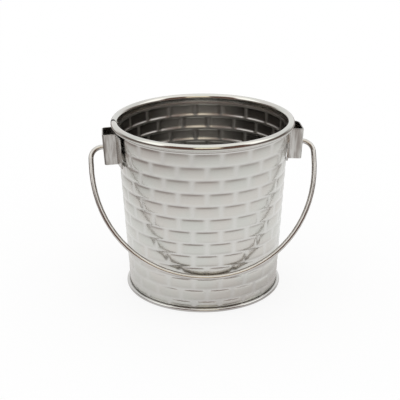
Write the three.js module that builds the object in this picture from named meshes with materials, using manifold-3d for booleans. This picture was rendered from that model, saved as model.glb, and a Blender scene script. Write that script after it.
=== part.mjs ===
// A small stainless steel serving pail: a tapered wall with bricks pressed into the sheet,
// a rim rolled outwards over itself, a base seamed round the wall's foot, two strap ears
// and a wire bail that swings in them.
//
// Millimetres, +Z up. The origin is the centre of the face that the pail rests on. X runs
// through the two ears, and the bail rests against the front of the wall, towards -Y.

import * as THREE from "three";
import { mergeVertices } from "three/addons/utils/BufferGeometryUtils.js";
import Module from "manifold-3d";

const wasm = await Module();
wasm.setup();

// Driving sizes of the wall and its rim. The wall's radii are taken on the brick faces.
const pailHeight = 85.7;
const rimRadius = 44.5;
const rimWidth = 3.18;
const rimHeight = 2.21;
const wallFootRadius = 37.1;
const wallSheet = 0.45;
const rimLipGap = 0.4;
const rimSplitWidth = 0.4;
const rimSplitAngle = THREE.MathUtils.degToRad(-91);

// Driving sizes of the bricks pressed into the wall
const bricksPerRow = 19;
const rowPitch = 6.29;
const plainBand = 2;
const jointHeight = 1.2;
const jointWidth = 2.4;
const jointDepth = 0.45;
const patternTurn = THREE.MathUtils.degToRad(6.1);

// Driving sizes of the base and its seam
const baseSheet = 0.45;
const hemWidth = 1.6;
const panelRise = 1.5;
const footBend = 0.3;

// Driving sizes of the ears
const earSheet = 0.6;
const earHeight = 15;
const earTopDrop = 5.3;
const earWidth = 28.6;
const humpWidth = 12;
const humpDepth = 6.7;
const earFootBend = 0.8;
const earCornerBend = 1.8;

// Driving sizes of the bail
const wireDiameter = 2.4;
const bailReach = 9.8;
const bailDrop = 66.23;
const pivotDrop = 13.53;
const pinReach = 4.4;
const bailBend = 5.7;
const bailLeg = 2.3;
const sideControlShare = 0.567;
const lowControlShare = 0.5525;

// Gaps between pieces, and how far a cut runs past what it cuts
const seatGap = 0.3;
const pinGap = 0.25;
const cutOverrun = 1;

// Fineness of round work
const rimSteps = 12;
const hollowSteps = 8;
const bendSteps = 3;
const seamSteps = 6;
const strapSteps = 4;
const holeSides = 24;
const wireSides = 8;
const wireSteps = 84;
const quarterArcShare = 0.5523;

// Levels and radii worked out from the driving sizes. The hem stands out past the wall's
// foot, and the bail's legs past the rim.
const seamHeight = 2 * baseSheet + wallSheet + 2 * seatGap;
const baseRadius = wallFootRadius + hemWidth;
const rimUnderside = pailHeight - rimHeight;
const wallTopRadius = rimRadius - rimWidth + wallSheet;
const taper = Math.atan((wallTopRadius - wallFootRadius) / (rimUnderside - seamHeight));
const columnCount = 2 * bricksPerRow;
const columnAngle = (2 * Math.PI) / columnCount;
const firstJoint = rimUnderside - plainBand - jointHeight / 2;
const rowCount = Math.floor((firstJoint - seamHeight - 1.5 * jointHeight) / rowPitch) + 1;
const earMiddle = pailHeight - earTopDrop - earHeight / 2;
const pivotHeight = pailHeight - pivotDrop;
const bailSide = rimRadius + bailReach;

// The radius of the brick faces at a height.
function faceRadius(height) {
  return wallFootRadius + (height - seamHeight) * Math.tan(taper);
}

// A point at an angle counted from the front, -Y, towards +X.
function around(angle, radius, height) {
  return new THREE.Vector3(radius * Math.sin(angle), -radius * Math.cos(angle), height);
}

// Points of an ellipse about a centre, from one angle to another, both ends included.
function arcPoints(centreX, centreY, radiusX, radiusY, from, to, steps) {
  const curve = new THREE.EllipseCurve(centreX, centreY, radiusX, radiusY, from, to, to < from);
  return curve.getPoints(steps);
}

// Adds a four-sided face, counter-clockwise as seen from outside, as two triangles.
function addQuad(corners, a, b, c, d) {
  corners.push(a, b, c, a, c, d);
}

// Turns a profile of radius and height about the axis, with a column at every brick
// joint, so that it meets the bricks point for point.
function addRevolved(corners, profile) {
  for (let column = 0; column < columnCount; column++) {
    const left = patternTurn + column * columnAngle;
    const right = patternTurn + ((column + 1) % columnCount) * columnAngle;
    for (let i = 1; i < profile.length; i++) {
      const { x: fromRadius, y: fromHeight } = profile[i - 1];
      const { x: toRadius, y: toHeight } = profile[i];
      addQuad(
        corners,
        around(left, fromRadius, fromHeight),
        around(right, fromRadius, fromHeight),
        around(right, toRadius, toHeight),
        around(left, toRadius, toHeight),
      );
    }
  }
}

// One brick: a face raised from the joints round it by four sloping sides. It spans two
// columns. The inside of the sheet has the same form one thickness further in.
function addBrick(corners, column, low, high, inset) {
  const jointTurn = jointWidth / 2 / wallTopRadius;
  const places = [
    [-1, low, 1],
    [0, low, 1],
    [1, low, 1],
    [1, high, -1],
    [0, high, -1],
    [-1, high, -1],
  ];
  const angleAt = (step) => patternTurn + ((column + step) % columnCount) * columnAngle;
  const joint = places.map(([step, height]) =>
    around(angleAt(step), faceRadius(height) - jointDepth - inset, height),
  );
  const face = places.map(([step, height, inwards]) => {
    const edge = height + (inwards * jointHeight) / 2;
    return around(angleAt(step) - step * jointTurn, faceRadius(edge) - inset, edge);
  });
  const brick = [];
  for (let i = 0; i < places.length; i++) {
    const next = (i + 1) % places.length;
    addQuad(brick, joint[i], joint[next], face[next], face[i]);
  }
  addQuad(brick, face[0], face[1], face[4], face[5]);
  addQuad(brick, face[1], face[2], face[3], face[4]);
  if (inset > 0) brick.reverse();
  corners.push(...brick);
}

// All rows of bricks on one side of the sheet, each row half a brick on from the one
// above. The lowest row is cut short by the base seam.
function addBricks(corners, inset) {
  for (let row = 0; row < rowCount; row++) {
    const high = firstJoint - row * rowPitch;
    const low = row === rowCount - 1 ? seamHeight : high - rowPitch;
    for (let brick = 0; brick < bricksPerRow; brick++) {
      addBrick(corners, 2 * brick + 1 + (row % 2), low, high, inset);
    }
  }
}

// The plain band and the rolled rim, as a profile up the outside of the wall, round the
// hollow curl to its lip, over the bead and down the inside.
function rimProfile() {
  const centreRadius = rimRadius - rimWidth / 2;
  const centreHeight = pailHeight - rimHeight / 2;
  const halfWidth = rimWidth / 2;
  const halfHeight = rimHeight / 2;
  const bandEdge = firstJoint + jointHeight / 2;
  const lip = -Math.PI / 2 - Math.asin((halfWidth - wallSheet - rimLipGap) / halfWidth);
  const point = (radius, height) => new THREE.Vector2(radius, height);
  return [
    point(faceRadius(firstJoint) - jointDepth, firstJoint),
    point(faceRadius(bandEdge), bandEdge),
    point(wallTopRadius, rimUnderside),
    ...arcPoints(
      centreRadius,
      centreHeight,
      halfWidth - wallSheet,
      halfHeight - wallSheet,
      Math.PI,
      lip,
      hollowSteps,
    ),
    ...arcPoints(centreRadius, centreHeight, halfWidth, halfHeight, lip, Math.PI, rimSteps),
    point(wallTopRadius - wallSheet, rimUnderside),
    point(faceRadius(bandEdge) - wallSheet, bandEdge),
    point(faceRadius(firstJoint) - jointDepth - wallSheet, firstJoint),
  ];
}

// The wall's foot, as a profile down the inside, round the turned-out flange that the
// base is folded over, and up the outside.
function footProfile() {
  const outside = faceRadius(seamHeight) - jointDepth;
  const inside = outside - wallSheet;
  const underside = baseSheet + seatGap;
  const flangeRadius = baseRadius - seamHeight / 2;
  const bendRadius = outside + footBend;
  const bendHeight = underside + wallSheet + footBend;
  const outerBend = footBend + wallSheet;
  const down = 1.5 * Math.PI;
  return [
    new THREE.Vector2(inside, seamHeight),
    ...arcPoints(bendRadius, bendHeight, outerBend, outerBend, Math.PI, down, bendSteps),
    new THREE.Vector2(flangeRadius, underside),
    new THREE.Vector2(flangeRadius, underside + wallSheet),
    ...arcPoints(bendRadius, bendHeight, footBend, footBend, down, Math.PI, bendSteps),
    new THREE.Vector2(outside, seamHeight),
  ];
}

// A geometry with only its positions left and its shared vertices merged.
function mergedGeometry(geometry) {
  const plain = geometry.index ? geometry.toNonIndexed() : geometry.clone();
  plain.deleteAttribute("normal");
  plain.deleteAttribute("uv");
  return mergeVertices(plain);
}

function solidOf(geometry) {
  const merged = mergedGeometry(geometry);
  return new wasm.Manifold(
    new wasm.Mesh({
      numProp: 3,
      vertProperties: merged.attributes.position.array,
      triVerts: new Uint32Array(merged.index.array),
    }),
  );
}

function geometryOf(solid) {
  const { vertProperties, triVerts } = solid.getMesh();
  const geometry = new THREE.BufferGeometry();
  geometry.setAttribute("position", new THREE.BufferAttribute(vertProperties, 3));
  geometry.setIndex(new THREE.BufferAttribute(triVerts, 1));
  return geometry;
}

// The embossed wall in one sheet, with the ends of the rolled rim meeting at the side seam.
function wallGeometry() {
  const corners = [];
  addBricks(corners, 0);
  addRevolved(corners, rimProfile());
  addBricks(corners, wallSheet);
  addRevolved(corners, footProfile());
  const sheet = new THREE.BufferGeometry().setFromPoints(corners);
  const splitLength = rimWidth + 2 * cutOverrun;
  const split = new THREE.BoxGeometry(rimSplitWidth, splitLength, rimHeight + 2 * wallSheet);
  split.translate(0, rimWidth / 2 - rimRadius, pailHeight - rimHeight / 2);
  split.rotateZ(rimSplitAngle);
  return geometryOf(solidOf(sheet).subtract(solidOf(split)));
}

// The base: a raised panel, the ring that the pail stands on, and the edge folded up and
// over the wall's flange.
function baseGeometry() {
  const stepShare = Math.SQRT2 - 1;
  const stepRadius = wallFootRadius - jointDepth - wallSheet - seatGap;
  const foldRadius = seamHeight / 2;
  const foldCentre = baseRadius - foldRadius;
  const innerFold = foldRadius - baseSheet;
  const down = -Math.PI / 2;
  const up = Math.PI / 2;
  const profile = [
    new THREE.Vector2(0, panelRise),
    new THREE.Vector2(stepRadius - panelRise - stepShare * baseSheet, panelRise),
    new THREE.Vector2(stepRadius - stepShare * baseSheet, 0),
    ...arcPoints(foldCentre, foldRadius, foldRadius, foldRadius, down, up, seamSteps),
    new THREE.Vector2(wallFootRadius, seamHeight),
    new THREE.Vector2(wallFootRadius, seamHeight - baseSheet),
    ...arcPoints(foldCentre, foldRadius, innerFold, innerFold, up, down, seamSteps),
    new THREE.Vector2(stepRadius, baseSheet),
    new THREE.Vector2(stepRadius - panelRise, panelRise + baseSheet),
    new THREE.Vector2(0, panelRise + baseSheet),
  ];
  const lathe = new THREE.LatheGeometry(profile, columnCount, patternTurn);
  return mergedGeometry(lathe.rotateX(Math.PI / 2));
}

// The arcs of one face of an ear's strap, from one flange end over the hump to the other,
// in the plane across the ear, with x outwards. An inset of one sheet gives the inner face.
function strapArcs(inset) {
  const flangeRadius = faceRadius(earMiddle) + seatGap + earSheet;
  const footY = humpWidth / 2 + earFootBend;
  const footX = Math.sqrt((flangeRadius + earFootBend) ** 2 - footY ** 2);
  const footTurn = Math.atan2(footY, footX);
  const half = [
    {
      x: 0,
      y: 0,
      radius: flangeRadius - inset,
      from: Math.asin(earWidth / 2 / flangeRadius),
      to: footTurn,
    },
    {
      x: footX,
      y: footY,
      radius: earFootBend + inset,
      from: footTurn + Math.PI,
      to: 1.5 * Math.PI,
    },
    {
      x: faceRadius(earMiddle) + humpDepth - earCornerBend,
      y: humpWidth / 2 - earCornerBend,
      radius: earCornerBend - inset,
      from: Math.PI / 2,
      to: 0,
    },
  ];
  const otherHalf = half.map((arc) => ({ ...arc, y: -arc.y, from: -arc.to, to: -arc.from }));
  return [...half, ...otherHalf.reverse()];
}

// An ear: a strap bent to a hat section, leaning with the wall, with a hole for the bail.
function earGeometry() {
  const outline = new THREE.Shape();
  for (const { x, y, radius, from, to } of strapArcs(0)) {
    outline.absarc(x, y, radius, from, to, to < from);
  }
  for (const { x, y, radius, from, to } of strapArcs(earSheet).reverse()) {
    outline.absarc(x, y, radius, to, from, from < to);
  }
  outline.closePath();
  const strap = new THREE.ExtrudeGeometry(outline, {
    depth: earHeight,
    bevelEnabled: false,
    curveSegments: strapSteps,
  });
  strap.translate(-faceRadius(earMiddle), 0, -earHeight / 2);
  strap.rotateY(taper);
  strap.translate(faceRadius(earMiddle), 0, earMiddle);
  const holeRadius = wireDiameter / 2 + pinGap;
  const holeLength = earSheet + 2 * cutOverrun;
  const hole = new THREE.CylinderGeometry(holeRadius, holeRadius, holeLength, holeSides);
  hole.rotateZ(Math.PI / 2);
  hole.translate(faceRadius(pivotHeight) + humpDepth - earSheet / 2, 0, pivotHeight);
  return geometryOf(solidOf(strap).subtract(solidOf(hole)));
}

// The bail's centreline in its own plane, with the pivot axis along X and the wire
// hanging down: a pin, a bend, a short leg and half the sweep, and the same again mirrored.
function bailPath() {
  const pinEnd = faceRadius(pivotHeight) + humpDepth - pinReach;
  const sweepTop = -bailBend - bailLeg;
  const sweepDepth = bailDrop + sweepTop;
  const at = (x, z) => new THREE.Vector3(x, 0, z);
  const half = [
    [at(pinEnd, 0), at(bailSide - bailBend, 0)],
    [
      at(bailSide - bailBend, 0),
      at(bailSide - bailBend + bailBend * quarterArcShare, 0),
      at(bailSide, -bailBend + bailBend * quarterArcShare),
      at(bailSide, -bailBend),
    ],
    [at(bailSide, -bailBend), at(bailSide, sweepTop)],
    [
      at(bailSide, sweepTop),
      at(bailSide, sweepTop - sweepDepth * sideControlShare),
      at(bailSide * lowControlShare, -bailDrop),
      at(0, -bailDrop),
    ],
  ];
  const mirrored = half.map((piece) => piece.map((p) => at(-p.x, p.z)).reverse()).reverse();
  const path = new THREE.CurvePath();
  for (const piece of [...half, ...mirrored]) {
    const Curve = piece.length === 2 ? THREE.LineCurve3 : THREE.CubicBezierCurve3;
    path.add(new Curve(...piece));
  }
  return path;
}

function bailGeometry() {
  const section = new THREE.Shape();
  section.absarc(0, 0, wireDiameter / 2, 0, 2 * Math.PI, false);
  return new THREE.ExtrudeGeometry(section, {
    steps: wireSteps,
    curveSegments: wireSides / 2,
    extrudePath: bailPath(),
  });
}

// How far the bail leans forwards from straight down when its lowest point rests on the
// wall, with the seat gap between them.
function bailLean() {
  const reach = faceRadius(pivotHeight) * Math.cos(taper) + wireDiameter / 2 + seatGap;
  return Math.asin(reach / bailDrop) - taper;
}

function pieceMesh(name, geometry, colour, roughness) {
  const material = new THREE.MeshStandardMaterial({ color: colour, metalness: 1, roughness });
  const mesh = new THREE.Mesh(geometry, material);
  mesh.name = name;
  return mesh;
}

const pail = new THREE.Group();
pail.add(pieceMesh("body_wall", wallGeometry(), 0xc9c7c2, 0.18));
pail.add(pieceMesh("base_plate", baseGeometry(), 0xc4c2bd, 0.2));

const ear = earGeometry();
const leftSide = new THREE.Group();
leftSide.rotation.z = Math.PI;
leftSide.add(pieceMesh("ear_left", ear, 0xb7b3ac, 0.24));
pail.add(leftSide);
pail.add(pieceMesh("ear_right", ear.clone(), 0xb7b3ac, 0.24));

const bailPivot = new THREE.Group();
bailPivot.position.z = pivotHeight;
bailPivot.rotation.x = -bailLean();
bailPivot.add(pieceMesh("bail", bailGeometry(), 0xbfbab2, 0.15));
pail.add(bailPivot);

export default pail;
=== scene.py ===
import math

import bmesh
import bpy
from mathutils import Matrix, Quaternion, Vector


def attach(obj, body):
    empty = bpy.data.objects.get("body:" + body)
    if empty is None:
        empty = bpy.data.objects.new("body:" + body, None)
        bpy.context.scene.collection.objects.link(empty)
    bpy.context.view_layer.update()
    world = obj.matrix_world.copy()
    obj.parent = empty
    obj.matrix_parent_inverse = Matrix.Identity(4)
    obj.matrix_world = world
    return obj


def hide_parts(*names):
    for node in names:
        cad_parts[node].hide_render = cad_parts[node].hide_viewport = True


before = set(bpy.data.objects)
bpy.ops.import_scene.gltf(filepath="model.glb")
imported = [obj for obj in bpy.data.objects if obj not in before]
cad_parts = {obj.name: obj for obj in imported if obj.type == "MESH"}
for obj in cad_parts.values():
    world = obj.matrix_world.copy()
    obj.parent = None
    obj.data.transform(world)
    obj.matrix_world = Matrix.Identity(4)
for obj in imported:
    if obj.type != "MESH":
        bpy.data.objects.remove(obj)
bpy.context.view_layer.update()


# Camera
# The photograph looks down at the pail by about 21 degrees, from a little to the left of
# its front, through a long lens held almost level.
camera_turn = math.radians(4.94)
camera_rise = math.radians(21.235)
camera_roll = math.radians(-0.273)
camera_distance = 0.5165
camera_target = Vector((-0.001459, 0.000126, 0.042857))
towards_camera = Vector((
    -math.sin(camera_turn) * math.cos(camera_rise),
    -math.cos(camera_turn) * math.cos(camera_rise),
    math.sin(camera_rise),
))
lens = bpy.data.cameras.new("camera")
lens.lens = 93.555
lens.clip_start = 0.01
camera = bpy.data.objects.new("camera", lens)
camera.location = camera_target + camera_distance * towards_camera
camera.rotation_mode = "QUATERNION"
level_view = (-towards_camera).to_track_quat("-Z", "Y")
camera.rotation_quaternion = level_view @ Quaternion((0, 0, 1), camera_roll)
bpy.context.scene.collection.objects.link(camera)
bpy.context.scene.camera = camera


# Studio light
# A white room all round, as bright as the background. The steel mirrors the photographer's
# side of it too: a brown room with a cream light panel, side lamps and a dim far horizon.
class Signal:
    """A socket of a node tree. Operators on it add Math nodes, and node() adds any other."""

    def __init__(self, tree, socket=None):
        self.tree = tree
        self.socket = socket

    def node(self, kind, settings, sockets, output=0):
        new = self.tree.nodes.new("ShaderNode" + kind)
        for name, value in settings.items():
            setattr(new, name, value)
        for name, value in sockets.items():
            if isinstance(value, Signal):
                self.tree.links.new(value.socket, new.inputs[name])
            else:
                new.inputs[name].default_value = value
        return Signal(self.tree, new.outputs[output] if len(new.outputs) else None)

    def also(self, output):
        """Another output of the same node."""
        return Signal(self.tree, self.socket.node.outputs[output])

    def maths(self, operation, first, second=0.0):
        return self.node("Math", {"operation": operation}, {0: first, 1: second})

    def __add__(self, other):
        return self.maths("ADD", self, other)

    def __sub__(self, other):
        return self.maths("SUBTRACT", self, other)

    def __rsub__(self, other):
        return self.maths("SUBTRACT", other, self)

    def __mul__(self, other):
        return self.maths("MULTIPLY", self, other)

    __radd__ = __add__
    __rmul__ = __mul__

    def rising(self, low, high):
        """0 below the low value and 1 above the high one, with a soft slope between them."""
        return self.node(
            "MapRange",
            {"interpolation_type": "SMOOTHSTEP"},
            {"Value": self, "From Min": low, "From Max": high},
        )

    def colours(self, first, second):
        """The first colour where this is 0 and the second where it is 1."""
        return self.node("Mix", {"data_type": "RGBA"}, {0: self, 6: first, 7: second}, 2)


white_light = (1.0, 1.0, 1.0, 1.0)
overhead_light = (1.25, 1.25, 1.22, 1.0)
side_lamp = (1.7, 1.7, 1.66, 1.0)
far_horizon = (0.16, 0.125, 0.11, 1.0)
brown_room = (0.16, 0.09, 0.07, 1.0)
cream_panel = (1.30, 1.18, 0.92, 1.0)

# The soft edges of each light, as pairs of angles up from the horizon or round from the front
overhead_edge = (0.8, 1.0)
horizon_top = (0.22, 0.42)
horizon_end = (1.9, 2.5)
lamp_near_end = (0.95, 1.10)
lamp_far_end = (1.65, 1.80)
lamp_foot = (0.38, 0.48)
lamp_top = (0.95, 1.05)
room_end = (0.85, 1.10)
room_top = (0.74, 0.88)
panel_left = (-0.30, -0.24)
panel_right = (0.30, 0.36)
panel_foot = (0.31, 0.38)
panel_top = (0.70, 0.78)

world = bpy.data.worlds.new("studio")
world.use_nodes = True
world.node_tree.nodes.clear()
world.cycles.sampling_method = "NONE"
bpy.context.scene.world = world
bpy.context.scene.view_settings.view_transform = "Standard"

studio = Signal(world.node_tree)
sight = studio.node("TexCoord", {}, {}, "Generated")
east = studio.node("SeparateXYZ", {}, {0: sight})
bearing = studio.maths("ARCTAN2", east, east.also("Y") * -1.0)
height = studio.maths("ARCSINE", east.also("Z"))
off_axis = studio.maths("ABSOLUTE", bearing)
horizon = (1 - height.rising(*horizon_top)) * (1 - off_axis.rising(*horizon_end))
lamps = (
    off_axis.rising(*lamp_near_end)
    * (1 - off_axis.rising(*lamp_far_end))
    * height.rising(*lamp_foot)
    * (1 - height.rising(*lamp_top))
)
room = (1 - off_axis.rising(*room_end)) * (1 - height.rising(*room_top))
panel = (
    bearing.rising(*panel_left)
    * (1 - bearing.rising(*panel_right))
    * height.rising(*panel_foot)
    * (1 - height.rising(*panel_top))
)
mirrored = height.rising(*overhead_edge).colours(white_light, overhead_light)
mirrored = horizon.colours(mirrored, far_horizon)
mirrored = lamps.colours(mirrored, side_lamp)
mirrored = room.colours(mirrored, brown_room)
mirrored = panel.colours(mirrored, cream_panel)
in_steel = studio.node("LightPath", {}, {}, "Is Glossy Ray")
light = studio.node("Background", {}, {"Color": in_steel.colours(white_light, mirrored)})
studio.node("OutputWorld", {}, {"Surface": light})


# Floor
# A white sweep of paper, with a share of plain paper that keeps the pail's soft shadow. In
# the steel alone it shows a painted pool of light that dims away from a bright spot on the
# right, and a painted shadow close to the pail's foot.
floor_level = -0.00005
floor_width = 3.0
bright_spot = (0.04, 0.0, 0.0)
away_from_spot = (0.085, 0.50)
away_from_foot = (0.038, 0.085)
left_to_right = (-0.035, 0.045)
foot_shadow_depth = 0.25
foot_shadow_right = 0.22
paper_share = 0.2
# Painted light: the paper's colour in the steel where the pool of light has faded
unlit_paper = (0.165, 0.105, 0.085, 1.0)


def new_material(name):
    """A new material, and its empty node tree as a Signal."""
    material = bpy.data.materials.new(name)
    material.use_nodes = True
    material.node_tree.nodes.clear()
    return material, Signal(material.node_tree)


def new_piece(name, form, material):
    """Puts a finished bmesh in the scene as a smooth object with one material."""
    mesh = bpy.data.meshes.new(name)
    for face in form.faces:
        face.smooth = True
    form.to_mesh(mesh)
    form.free()
    mesh.materials.append(material)
    piece = bpy.data.objects.new(name, mesh)
    bpy.context.scene.collection.objects.link(piece)
    return piece


paper, weave = new_material("paper")
paper.cycles.emission_sampling = "NONE"
plain = weave.node("BsdfDiffuse", {}, {"Color": white_light})
at = weave.node("TexCoord", {}, {}, "Object")
from_axis = weave.node("VectorMath", {"operation": "LENGTH"}, {0: at}, "Value")
from_spot = weave.node("VectorMath", {"operation": "DISTANCE"}, {0: at, 1: bright_spot}, "Value")
away = from_spot.rising(*away_from_spot)
right = weave.node("SeparateXYZ", {}, {0: at}).rising(*left_to_right)
# Painted shadow, seen only in the steel, close to the pail's foot and most on the right
foot_shadow = 1 - from_axis.rising(*away_from_foot)
foot_shadow = foot_shadow * (foot_shadow_depth + right * foot_shadow_right)
seen = weave.node("LightPath", {}, {}, "Is Camera Ray")
dimmed = weave.maths("MAXIMUM", away, foot_shadow) * seen.also("Is Glossy Ray")
bright = weave.node("Emission", {}, {"Color": dimmed.colours(white_light, unlit_paper)})
seen = seen + seen.also("Is Glossy Ray") + seen.also("Is Transmission Ray")
shown = weave.node("MixShader", {}, {0: seen * (1 - paper_share), 1: plain, 2: bright})
weave.node("OutputMaterial", {}, {"Surface": shown})

sheet = bmesh.new()
bmesh.ops.create_grid(sheet, x_segments=1, y_segments=1, size=floor_width / 2)
bmesh.ops.translate(sheet, verts=sheet.verts, vec=(0, 0, floor_level))
floor = new_piece("floor", sheet, paper)


# Wall
# One stainless sheet, pressed all over with bricks that show on both faces, rolled into a
# cone and welded along its side, where the pattern is cut. Its top is curled outwards into
# the rim, whose ends meet at the weld, and its foot is turned out into the base's seam.
sheet_thickness = 0.00045
foot_radius = 0.0371
wall_top_radius = 0.04171
seam_top = 0.00195
rim_underside = 0.08248
taper = (wall_top_radius - foot_radius) / (rim_underside - seam_top)

rim_radius = 0.04438
rim_above = 0.0021
rim_below = 0.00105
rim_overhang = 0.0004
rim_lip_turn = math.radians(285)
rim_steps = 19
rim_split_width = 0.0012
rim_split_slant = math.radians(-51)
split_cut_reach = 0.008
split_shade = 0.0002
split_shade_reach = 0.005
curl_shade_reach = 1.1
hair = 0.00001

flange_radius = 0.037725
flange_level = 0.0012
foot_bend = 0.0003
foot_bend_steps = 3

joint_turn = math.radians(9.62)
pattern_turn = math.radians(7.2)
first_joint = 0.0810
row_pitch = 0.006625
row_squeeze = 0.0000292
row_count = 13
joint_counts = range(-11, 29)

# The outer relief is shallower across the front than at the sides, and deeper at the foot
outer_depth = 0.00032
front_depth = 0.00023
front_foot_depth = 0.00043
front_turn = math.radians(12)
front_half = math.radians(34)
front_edge = math.radians(28)
foot_fade = 0.0024
foot_fade_share = 0.4
outer_crown = 0.00017
crown_up = 0.8
crown_along = 0.2
level_joint = 0.0002
level_flank = 0.0010
upright_joint = 0.00035
upright_flank = 0.0014
inner_depth = 0.00050
inner_crown = 0.00010
inner_level_joint = 0.0003
inner_level_flank = 0.0010
inner_upright_joint = 0.0002
inner_upright_flank = 0.0015
shoulder = 0.00055
level_steps = (0, 0.35, 0.65, 1)
upright_steps = (0, 0.5, 1)
least_step = 0.0001
merge_reach = 0.000001

ridge_level = 0.08105
ridge_height = 0.00008
ridge_half_width = 0.00045
ridge_steps = (-0.9, -0.45, 0, 0.45, 0.9)
band_flare = 0.7

weld_turn = math.radians(-89.6)
weld_half_width = 0.0011
weld_press = 0.45
weld_clearance = math.radians(0.4)

cool_steel = (0.590, 0.594, 0.560, 1.0)
warm_steel = (0.605, 0.586, 0.552, 1.0)
# Painted highlight: the joints and the plain band under the rim are lighter than the bricks
joint_highlight_steel = (0.645, 0.64, 0.62, 1.0)
# Painted shade: the inside is darker than the outside, and far darker towards its left and right
shaded_inner_steel = (0.54, 0.53, 0.505, 1.0)
painted_side_shade_steel = (0.20, 0.19, 0.18, 1.0)
# Painted highlight: the joints inside are lighter than the bricks
inner_joint_highlight_steel = (0.60, 0.59, 0.57, 1.0)
# Painted shade: near black inside the rim's curl and on the edges of its split
painted_curl_shade = (0.03, 0.028, 0.026, 1.0)
patch_grain = (70.0, 2.0)
haze_grain = (900.0, 3.0)
ripple_grain = (230.0, 1.0)
patch_edges = (0.35, 0.65)
joint_highlight_share = 0.7
side_shade_dims = (0.010, 0.027)
joint_highlight_edges = (0.1, 0.9)
bead_gloss = 0.10
pressed_gloss = 0.125
inner_gloss = 0.065
haze_gloss = 0.03
ripple_height = 0.000022


def noise(shader, at, scale, detail):
    """A soft random pattern: the larger the scale, the finer its grain."""
    return shader.node("TexNoise", {}, {"Vector": at, "Scale": scale, "Detail": detail})


def finish_steel(shader, tone, gloss, relief, relief_height):
    """Makes a steel of its colour, its roughness and the fine relief of its surface."""
    bumps = shader.node(
        "Bump", {}, {"Strength": 1.0, "Distance": relief_height, "Height": relief}
    )
    surface = shader.node(
        "BsdfPrincipled",
        {},
        {"Base Color": tone, "Metallic": 1.0, "Roughness": gloss, "Normal": bumps},
    )
    shader.node("OutputMaterial", {}, {"Surface": surface})


def extrude_to(form, vertex, place):
    """Extrudes a vertex in a straight line to a place and gives the new one."""
    (new,) = bmesh.ops.extrude_vert_indiv(form, verts=[vertex])["verts"]
    new.co = place
    return new


def bend(form, vertex, centre, angle, steps, axis=(0, 1, 0)):
    """Extrudes a vertex round an arc and gives the last one."""
    arc = bmesh.ops.spin(
        form, geom=[vertex], cent=centre, axis=axis, angle=angle, steps=steps
    )
    return next(item for item in arc["geom_last"] if isinstance(item, bmesh.types.BMVert))


def turn_profile(form, columns):
    """Spins a profile that stands in the XZ plane once round the axis."""
    bmesh.ops.spin(
        form,
        geom=form.verts[:] + form.edges[:],
        cent=(0, 0, 0),
        axis=(0, 0, 1),
        angle=2 * math.pi,
        steps=columns,
        use_merge=True,
    )
    bmesh.ops.remove_doubles(form, verts=form.verts, dist=merge_reach)
    bmesh.ops.recalc_face_normals(form, faces=form.faces)


def thicken(piece, thickness):
    """Gives a piece that was made as the outer face of a sheet the sheet's thickness."""
    wall = piece.modifiers.new("sheet", "SOLIDIFY")
    wall.thickness = thickness
    wall.offset = -1
    wall.use_even_offset = True


def face_radius(level):
    """The radius of the wall's outer face at a level, without its pattern."""
    return foot_radius + (level - seam_top) * taper


def smooth_step(value):
    """0 below 0 and 1 above 1, with a soft slope between them."""
    held = min(max(value, 0), 1)
    return held * held * (3 - 2 * held)


def pressed(angle, level, across_level, level_slope, across_upright, upright_slope):
    """How far a place on the wall lies in a joint, from 0 on a brick to 1 in the joint, and
    how far it lies below the middle of the brick's crown."""
    if level > first_joint:
        share = (level - ridge_level - ridge_half_width) / (rim_underside - ridge_level)
        return 1 - max(share, 0) * band_flare, 0
    row = sum(1 for joint in joints[1:-1] if joint > level)
    upper, lower = joints[row], joints[row + 1]
    to_level_joint = min(upper - level, level - lower)
    turns = ((angle - pattern_turn) / joint_turn - row % 2) % 2
    to_upright_joint = min(turns, 2 - turns) * joint_turn * face_radius(level)
    off_level = smooth_step((to_level_joint - across_level) / level_slope)
    off_upright = smooth_step((to_upright_joint - across_upright) / upright_slope)
    half_height = (upper - lower) / 2 - across_level - level_slope
    half_length = joint_turn * face_radius(level) - across_upright - upright_slope
    up = min(abs(level - (upper + lower) / 2) / half_height, 1)
    from_middle = abs(min(turns, 2 - turns) - 1) * joint_turn * face_radius(level)
    along = min(from_middle / half_length, 1)
    return 1 - off_level * off_upright, crown_up * up**2 + crown_along * along**4


def rim_near_split(form):
    """The rim's faces beside its split, each with its place across the split."""
    places = [(face, face.calc_center_median() - split_centre) for face in form.faces]
    return [
        (face, place.dot(across_split))
        for face, place in places
        if place.z > rim_underside and place.xy.length < split_cut_reach
    ]


joints = [first_joint - row * row_pitch + row * row * row_squeeze for row in range(row_count)]
joints.append(seam_top)

wall_form = bmesh.new()
(tip,) = bmesh.ops.create_vert(wall_form, co=(flange_radius, 0, flange_level))["vert"]
bend_radius = foot_radius - inner_depth + foot_bend
tip = extrude_to(wall_form, tip, (bend_radius, 0, flange_level))
foot_centre = (bend_radius, 0, flange_level + foot_bend)
tip = bend(wall_form, tip, foot_centre, math.radians(90), foot_bend_steps)
tip = extrude_to(wall_form, tip, (foot_radius, 0, seam_top))
from_joint = [level_joint + share * level_flank for share in level_steps]
from_joint.append(from_joint[-1] + shoulder)
wall_levels = [joint - reach for joint in joints[:-1] for reach in from_joint]
wall_levels += [joint + reach for joint in joints[1:] for reach in from_joint]
wall_levels += [ridge_level + share * ridge_half_width for share in ridge_steps]
for level in sorted(wall_levels):
    if level > tip.co.z + least_step:
        tip = extrude_to(wall_form, tip, (face_radius(level), 0, level))
tip = extrude_to(wall_form, tip, (wall_top_radius, 0, rim_underside))

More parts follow.
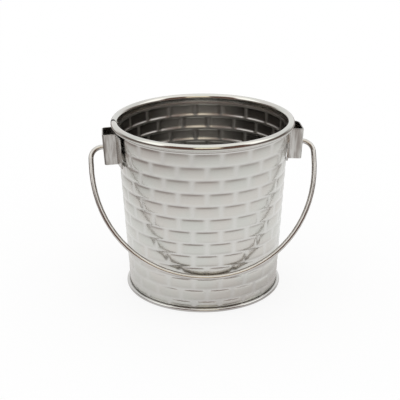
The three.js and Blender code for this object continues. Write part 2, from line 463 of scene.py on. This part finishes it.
curl_start = wall_top_radius - rim_overhang
curl_radius = (rim_radius - sheet_thickness - curl_start) / 2
curl_centre = Vector((curl_start + curl_radius, 0, rim_underside + rim_below))
below_curl = set(wall_form.verts)
tip = extrude_to(wall_form, tip, (curl_start, 0, curl_centre.z))
bend(wall_form, tip, curl_centre, rim_lip_turn, rim_steps)
for half, height in ((1, rim_above), (-1, rim_below)):
    bmesh.ops.scale(
        wall_form,
        vec=(1, 1, (height - sheet_thickness) / curl_radius),
        space=Matrix.Translation(-curl_centre),
        verts=[
            vertex
            for vertex in wall_form.verts
            if vertex not in below_curl and (vertex.co.z - curl_centre.z) * half > hair
        ],
    )

mean_radius = (foot_radius + wall_top_radius) / 2
columns = []
reaches = [upright_joint + share * upright_flank for share in upright_steps]
reaches.append(reaches[-1] + shoulder)
for count in joint_counts:
    middle = pattern_turn + count * joint_turn
    for reach in reaches:
        columns += [middle - reach / mean_radius, middle + reach / mean_radius]
columns = [
    turn
    for turn in columns
    if weld_clearance < turn - weld_turn < 2 * math.pi - weld_clearance
]
columns = sorted(columns + [weld_turn])
turn_profile(wall_form, len(columns))
bmesh.ops.reverse_faces(wall_form, faces=wall_form.faces)
for vertex in wall_form.verts:
    place = math.atan2(vertex.co.y, vertex.co.x) / (2 * math.pi) * len(columns)
    turn = columns[round(place) % len(columns)]
    radius = math.hypot(vertex.co.x, vertex.co.y)
    vertex.co.x = radius * math.sin(turn)
    vertex.co.y = -radius * math.cos(turn)

across_split = Vector((math.cos(weld_turn), math.sin(weld_turn), 0))
across_split.rotate(Matrix.Rotation(rim_split_slant, 3, "Z"))
split_centre = Vector((math.sin(weld_turn), -math.cos(weld_turn), 0)) * curl_centre.x
half_split = rim_split_width / 2
for reach in (-half_split - split_shade, -half_split, half_split, half_split + split_shade):
    parts = {}
    for face, across in rim_near_split(wall_form):
        parts.update(dict.fromkeys((face, *face.edges, *face.verts)))
    bmesh.ops.bisect_plane(
        wall_form,
        geom=list(parts),
        plane_co=split_centre + across_split * reach,
        plane_no=across_split,
    )
cut_out = [face for face, across in rim_near_split(wall_form) if abs(across) < half_split]
bmesh.ops.delete(wall_form, geom=cut_out, context="FACES")
bmesh.ops.solidify(wall_form, geom=wall_form.faces[:], thickness=sheet_thickness)

joint_depth = wall_form.verts.layers.float.new("joint")
pressed_face = wall_form.verts.layers.float.new("pressed")
inner_face = wall_form.verts.layers.float.new("inner")
# Marks where painted shade goes: inside the rim's curl and beside its split
painted_shade = wall_form.verts.layers.float.new("painted_shade")
for vertex in wall_form.verts:
    level = vertex.co.z
    radius = math.hypot(vertex.co.x, vertex.co.y)
    from_curl = math.hypot(
        (radius - curl_centre.x) / curl_radius,
        (level - curl_centre.z) / (rim_above - sheet_thickness),
    )
    in_curl = level > rim_underside + sheet_thickness and from_curl < curl_shade_reach
    from_split = vertex.co - split_centre
    at_split = abs(from_split.dot(across_split)) < (rim_split_width + split_shade) / 2
    at_split = at_split and from_split.xy.length < split_shade_reach and level > rim_underside
    vertex[painted_shade] = 1 if in_curl or at_split else 0
    if not seam_top - least_step < level < rim_underside - least_step:
        continue
    turn = math.atan2(vertex.co.x, -vertex.co.y)
    turn = weld_turn + (turn - weld_turn) % (2 * math.pi)
    outer = radius > face_radius(level) - sheet_thickness / 2
    if outer:
        widths = (level_joint, level_flank, upright_joint, upright_flank)
        from_front = abs(math.remainder(turn - front_turn, 2 * math.pi))
        low = (first_joint - level) / (first_joint - seam_top)
        depth = front_depth + (front_foot_depth - front_depth) * max(low, 0)
        depth += (outer_depth - depth) * smooth_step((from_front - front_half) / front_edge)
        depth *= 1 - foot_fade_share * smooth_step(1 - (level - seam_top) / foot_fade)
        crown = outer_crown
    else:
        widths = (inner_level_joint, inner_level_flank, inner_upright_joint, inner_upright_flank)
        depth, crown = inner_depth, inner_crown
    share, fall = pressed(turn, level, *widths)
    from_weld = abs(math.remainder(turn - weld_turn, 2 * math.pi)) * radius
    clear = smooth_step((from_weld - weld_half_width) / weld_half_width)
    above = smooth_step((level - first_joint) / level_flank + 1)
    flat = weld_press + (1 - weld_press) * above
    share = flat + (share - flat) * clear
    vertex[joint_depth] = share
    vertex[pressed_face] = 1
    vertex[inner_face] = 0 if outer else 1
    off_ridge = smooth_step(abs(level - ridge_level) / ridge_half_width)
    pressed_radius = radius - depth * share - crown * fall * (1 - share)
    pressed_radius += ridge_height * (1 - off_ridge)
    vertex.co.x *= pressed_radius / radius
    vertex.co.y *= pressed_radius / radius

wall_steel, metal = new_material("wall_steel")
place = metal.node("TexCoord", {}, {}, "Object")
patches = noise(metal, place, *patch_grain)
haze = noise(metal, place, *haze_grain)
ripple = noise(metal, place, *ripple_grain)
joint = metal.node("Attribute", {"attribute_name": "joint"}, {}, "Fac")
dull = metal.node("Attribute", {"attribute_name": "pressed"}, {}, "Fac")
inside = metal.node("Attribute", {"attribute_name": "inner"}, {}, "Fac")
painted_hollow_shade = metal.node("Attribute", {"attribute_name": "painted_shade"}, {}, "Fac")
tone = patches.rising(*patch_edges).colours(cool_steel, warm_steel)
# painted highlight: lighter steel in the joints and the band under the rim
tone = (joint * joint_highlight_share).colours(tone, joint_highlight_steel)
# painted shade: near black inside the curl and at the split
tone = painted_hollow_shade.colours(tone, painted_curl_shade)
# painted shade inside, darkest towards the left and right, with a painted highlight on the
# joints
across = metal.maths("ABSOLUTE", metal.node("SeparateXYZ", {}, {0: place}))
shaded_lining = across.rising(*side_shade_dims).colours(shaded_inner_steel, painted_side_shade_steel)
shaded_lining = joint.rising(*joint_highlight_edges).colours(shaded_lining, inner_joint_highlight_steel)
tone = inside.colours(tone, shaded_lining)
gloss = bead_gloss + haze * haze_gloss + dull * pressed_gloss + inside * inner_gloss
finish_steel(metal, tone, gloss, ripple, ripple_height)

wall = new_piece("wall", wall_form, wall_steel)
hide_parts("body_wall")
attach(wall, "pail")


# Base
# A stainless disc with a slightly raised panel. Its edge is folded up and over the wall's
# flange, which makes the bead round the foot and the ring that the pail stands on.
base_radius = 0.03866
base_thickness = 0.00045
panel_rise = 0.0015
panel_step_radius = 0.0359
panel_bend = 0.0006
hem_radius = seam_top / 2
hem_lip_radius = 0.03695
base_columns = 152
panel_rings = (0.3, 0.6, 0.9, 1.0)
panel_bend_steps = 4
hem_steps = 14

base_steel_light = (0.60, 0.59, 0.575, 1.0)
base_steel_dark = (0.555, 0.55, 0.535, 1.0)
base_patch_grain = (60.0, 2.0)
base_gloss = 0.13
ring_gloss = 0.09
ring_scale = 2500.0
ring_height = 0.000004

eighth = math.radians(45)
lower_bend = panel_bend + base_thickness
step_run = panel_rise - (panel_bend + lower_bend) * (1 - math.cos(eighth))
step_width = step_run + (panel_bend + lower_bend) * math.sin(eighth)
step_start = panel_step_radius - step_width

base_form = bmesh.new()
(tip,) = bmesh.ops.create_vert(base_form, co=(0, 0, panel_rise))["vert"]
for share in panel_rings:
    tip = extrude_to(base_form, tip, (share * step_start, 0, panel_rise))
upper_centre = (step_start, 0, panel_rise - panel_bend)
tip = bend(base_form, tip, upper_centre, eighth, panel_bend_steps)
tip = extrude_to(base_form, tip, tip.co + Vector((step_run, 0, -step_run)))
tip = bend(base_form, tip, (panel_step_radius, 0, lower_bend), -eighth, panel_bend_steps)
hem_centre = Vector((base_radius - hem_radius, 0, hem_radius))
tip = extrude_to(base_form, tip, (hem_centre.x, 0, 0))
tip = bend(base_form, tip, hem_centre, math.radians(-180), hem_steps)
extrude_to(base_form, tip, (hem_lip_radius, 0, seam_top))
turn_profile(base_form, base_columns)

base_steel, metal = new_material("base_steel")
place = metal.node("TexCoord", {}, {}, "Object")
patches = noise(metal, place, *base_patch_grain)
from_axis = metal.node("VectorMath", {"operation": "LENGTH"}, {0: place}, "Value")
rings = metal.node("TexNoise", {"noise_dimensions": "1D"}, {"W": from_axis, "Scale": ring_scale})
tone = patches.rising(*patch_edges).colours(base_steel_light, base_steel_dark)
finish_steel(metal, tone, base_gloss + rings * ring_gloss, rings, ring_height)

base = new_piece("base", base_form, base_steel)
thicken(base, base_thickness)
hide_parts("base_plate")
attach(base, "pail")


# Ears
# Two stainless straps, each half bent by hand to its own measure into a hat section that is
# open above and below. Two spot welds hold each flange on the wall, and the hump has a hole
# for the end of the bail.
ear_thickness = 0.0006
ear_gap = 0.0005
ear_height = 0.015
ear_middle = 0.0729
hump_depth = 0.0071
ear_edge_band = 0.0003
ear_foot_bend = 0.0008
ear_edge_round = 0.00012
edge_segments = 2
sharp_edge = math.radians(50)
flange_steps = 8
foot_steps = 5
corner_steps = 6
pivot_height = 0.07217
hole_radius = 0.00145
hole_patch = 0.0022
hole_ring = 0.0004
hole_spacing = 0.0007

left_back = {"width": 0.0143, "hump_width": 0.0066, "corner": 0.0016, "flange_bend": 0.0425}
left_front = {"width": 0.0143, "hump_width": 0.0066, "corner": 0.0016, "flange_bend": 0.049}
right_front = {"width": 0.0100, "hump_width": 0.0060, "corner": 0.0012, "flange_bend": 0.031}
right_back = {"width": 0.0152, "hump_width": 0.0090, "corner": 0.0044, "flange_bend": 0.0425}

ear_light = (0.63, 0.625, 0.60, 1.0)
ear_dark = (0.36, 0.335, 0.31, 1.0)
# Painted shade: the inside of each hump is painted dark
painted_ear_shade = (0.20, 0.185, 0.17, 1.0)
weld_tint = (0.40, 0.33, 0.27, 1.0)
weld_across = 0.0102
weld_up = 0.0037
ear_patch_grain = (300.0, 1.0)
line_grain = (900.0, 2.0)
weld_edge = (0.0010, 0.0016)
halo_edge = (0.0014, 0.0028)
halo_share = 0.7
inside_edge = (-0.0004, -0.0001)
inside_shift = 0.001
streak_stretch = (1.0, 1.0, 0.15)
streak_edges = (0.38, 0.62)
ear_gloss = 0.17
line_gloss = 0.10
halo_gloss = 0.08
weld_dent = 0.00006
line_share = 0.1

lean = math.atan(taper)
quarter = math.radians(90)
ear_face = face_radius(ear_middle)
flange_face = ear_face + ear_gap + ear_thickness
hump_face = ear_face + hump_depth
hole_level = ((pivot_height - ear_middle) + hump_depth * math.sin(lean)) / math.cos(lean)


def half_strap(form, side, width, hump_width, corner, flange_bend):
    """The lower edge of one half of a strap, from its flange's end to the hump's middle."""
    foot_across = hump_width + ear_foot_bend
    foot_out = math.sqrt((flange_bend + ear_foot_bend) ** 2 - foot_across**2)
    foot_turn = math.atan2(foot_across, foot_out)
    end_turn = math.asin(width / flange_bend)
    end_band = ear_edge_band / flange_bend
    axis = (0, 0, side)
    centre = Vector((flange_face - flange_bend, 0, -ear_height / 2))
    level = centre.z
    end = Vector((math.cos(end_turn), side * math.sin(end_turn), 0)) * flange_bend
    (tip,) = bmesh.ops.create_vert(form, co=centre + end)["vert"]
    tip = bend(form, tip, centre, -end_band, 1, axis)
    tip = bend(form, tip, centre, foot_turn - end_turn + end_band, flange_steps, axis)
    foot_centre = (centre.x + foot_out, side * foot_across, level)
    tip = bend(form, tip, foot_centre, quarter - foot_turn, foot_steps, axis)
    tip = extrude_to(form, tip, (hump_face - corner, side * hump_width, level))
    corner_centre = (hump_face - corner, side * (hump_width - corner), level)
    tip = bend(form, tip, corner_centre, -quarter, corner_steps, axis)
    tip = extrude_to(form, tip, (hump_face, side * hole_patch, level))
    extrude_to(form, tip, (hump_face, 0, level))


def strap(minus_half, plus_half):
    """An ear's outer face, standing on the right of the pail."""
    form = bmesh.new()
    half_strap(form, -1, **minus_half)
    half_strap(form, 1, **plus_half)
    row = form.edges[:]
    inner_edge = ear_height / 2 - ear_edge_band
    hole_edges = (hole_level - hole_patch, hole_level + hole_patch)
    for upper in (-inner_edge, *hole_edges, inner_edge, ear_height / 2):
        raised = bmesh.ops.extrude_edge_only(form, edges=row)["geom"]
        row = [item for item in raised if isinstance(item, bmesh.types.BMEdge)]
        for item in raised:
            if isinstance(item, bmesh.types.BMVert):
                item.co.z = upper
    bmesh.ops.remove_doubles(form, verts=form.verts, dist=merge_reach)
    bmesh.ops.recalc_face_normals(form, faces=form.faces)

    patch = [
        face
        for face in form.faces
        if face.calc_center_median().x > hump_face - hair
        and abs(face.calc_center_median().y) < hole_patch
        and abs(face.calc_center_median().z - hole_level) < hole_patch
    ]
    (patch,) = bmesh.ops.dissolve_faces(form, faces=patch)["region"]
    for edge in list(patch.edges):
        cuts = round(edge.calc_length() / hole_spacing) - 1
        bmesh.ops.bisect_edges(form, edges=[edge], cuts=cuts)
    bmesh.ops.inset_region(form, faces=[patch], thickness=hole_ring)
    for vertex in patch.verts:
        away = Vector((0, vertex.co.y, vertex.co.z - hole_level)).normalized()
        vertex.co = Vector((hump_face, 0, hole_level)) + away * hole_radius
    bmesh.ops.delete(form, geom=[patch], context="FACES")
    leaned = Matrix.Rotation(lean, 3, "Y")
    bmesh.ops.rotate(form, cent=(ear_face, 0, 0), matrix=leaned, verts=form.verts)
    bmesh.ops.translate(form, vec=(0, 0, ear_middle), verts=form.verts)
    return form


ear_steel, metal = new_material("ear_steel")
place = metal.node("TexCoord", {}, {}, "Object")
axes = metal.node("SeparateXYZ", {}, {0: place})
drawn = metal.node("Mapping", {}, {"Vector": place, "Scale": streak_stretch})
patches = noise(metal, drawn, *ear_patch_grain)
lines = noise(metal, drawn, *line_grain)
off_weld = metal.maths("ABSOLUTE", axes.also("Y")) - weld_across
above_weld = metal.maths("ABSOLUTE", axes.also("Z") - ear_middle) - weld_up
from_weld = metal.node("CombineXYZ", {}, {0: off_weld, 1: above_weld})
from_weld = metal.node("VectorMath", {"operation": "LENGTH"}, {0: from_weld}, "Value")
nugget = 1 - from_weld.rising(*weld_edge)
halo = 1 - from_weld.rising(*halo_edge)
shift = axes.rising(-inside_shift, inside_shift) * inside_shift
across = metal.maths("ABSOLUTE", axes.also("Y") - shift)
leaning = metal.maths("ABSOLUTE", axes) - (axes.also("Z") - ear_middle) * taper
# Painted shade: the hollow inside the hump, behind its sides and its outer face
painted_hollow_shade = 1 - across.rising(*(left_back["hump_width"] + reach for reach in inside_edge))
painted_hollow_shade = painted_hollow_shade * (1 - leaning.rising(*(hump_face + reach for reach in inside_edge)))
tone = (patches * 0.5 + lines * 0.5).rising(*streak_edges).colours(ear_light, ear_dark)
tone = (halo * halo_share).colours(tone, weld_tint)
tone = painted_hollow_shade.colours(tone, painted_ear_shade)
gloss = ear_gloss + lines * line_gloss + halo * halo_gloss
finish_steel(metal, tone, gloss, lines * line_share - nugget, weld_dent)

for side, turn, halves in (
    ("right", 0, (right_front, right_back)),
    ("left", math.pi, (left_back, left_front)),
):
    ear_form = strap(*halves)
    turned = Matrix.Rotation(turn, 3, "Z")
    bmesh.ops.rotate(ear_form, cent=(0, 0, 0), matrix=turned, verts=ear_form.verts)
    ear = new_piece("strap_" + side, ear_form, ear_steel)
    thicken(ear, ear_thickness)
    edges = ear.modifiers.new("edges", "BEVEL")
    edges.width = ear_edge_round
    edges.segments = edge_segments
    edges.limit_method = "ANGLE"
    edges.angle_limit = sharp_edge
    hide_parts("ear_" + side)
    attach(ear, "pail")


# Bail
# One bright drawn stainless wire, bent outwards at both ends and swept round under the
# pail's waist, slightly wider on the left. Its straight ends go through the holes in the ears.
wire_radius = 0.001235
pin_end = 0.04342
right_side = 0.05402
left_side = 0.05426
bail_bend = 0.0057
bail_leg = 0.0023
bail_drop = 0.06623
bail_lean = math.radians(36.70)
right_control = 0.567
left_control = 0.605
low_control = 0.5525
arc_control = 0.5523

wire_light = (0.60, 0.58, 0.555, 1.0)
wire_dark = (0.53, 0.51, 0.485, 1.0)
wire_patch_grain = (120.0, 2.0)
scuff_grain = (1500.0, 2.0)
wire_gloss = 0.12
scuff_gloss = 0.08
scuff_height = 0.000004


def half_route(side, control):
    """Half of the wire's route, as places across and down from the pivots: each with its
    handles towards the pin and towards the middle."""
    bend_start = side - bail_bend
    sweep_top = bail_bend + bail_leg
    sweep_reach = (bail_drop - sweep_top) * control
    return [
        ((pin_end, 0), (pin_end, 0), (pin_end, 0)),
        ((bend_start, 0), (bend_start, 0), (side - bail_bend * (1 - arc_control), 0)),
        ((side, bail_bend), (side, bail_bend * (1 - arc_control)), (side, bail_bend)),
        ((side, sweep_top), (side, sweep_top), (side, sweep_top + sweep_reach)),
    ]


bottom = (
    (0, bail_drop),
    (right_side * low_control, bail_drop),
    (-left_side * low_control, bail_drop),
)
route_points = half_route(right_side, right_control) + [bottom]
route_points += [
    ((-place[0], place[1]), (-after[0], after[1]), (-before[0], before[1]))
    for place, before, after in reversed(half_route(left_side, left_control))
]
route = bpy.data.curves.new("bail route", "CURVE")
route.dimensions = "3D"
route.bevel_depth = wire_radius
route.bevel_resolution = 4
route.resolution_u = 20
route.use_fill_caps = True
wire = route.splines.new("BEZIER")
wire.bezier_points.add(len(route_points) - 1)
for point, (place, before, after) in zip(wire.bezier_points, route_points):
    point.handle_left_type = point.handle_right_type = "FREE"
    point.co, point.handle_left, point.handle_right = (
        Vector((across, -down * math.sin(bail_lean), pivot_height - down * math.cos(bail_lean)))
        for across, down in (place, before, after)
    )
guide = bpy.data.objects.new("bail route", route)
bail_form = bmesh.new()
bail_form.from_mesh(guide.to_mesh())
guide.to_mesh_clear()
bpy.data.objects.remove(guide)
bpy.data.curves.remove(route)
bmesh.ops.remove_doubles(bail_form, verts=bail_form.verts, dist=merge_reach)

bail_wire, metal = new_material("bail_wire")
place = metal.node("TexCoord", {}, {}, "Object")
patches = noise(metal, place, *wire_patch_grain)
scuffs = noise(metal, place, *scuff_grain)
tone = patches.rising(*patch_edges).colours(wire_light, wire_dark)
finish_steel(metal, tone, wire_gloss + scuffs * scuff_gloss, scuffs, scuff_height)

bail = new_piece("bail_handle", bail_form, bail_wire)
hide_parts("bail")
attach(bail, "bail")
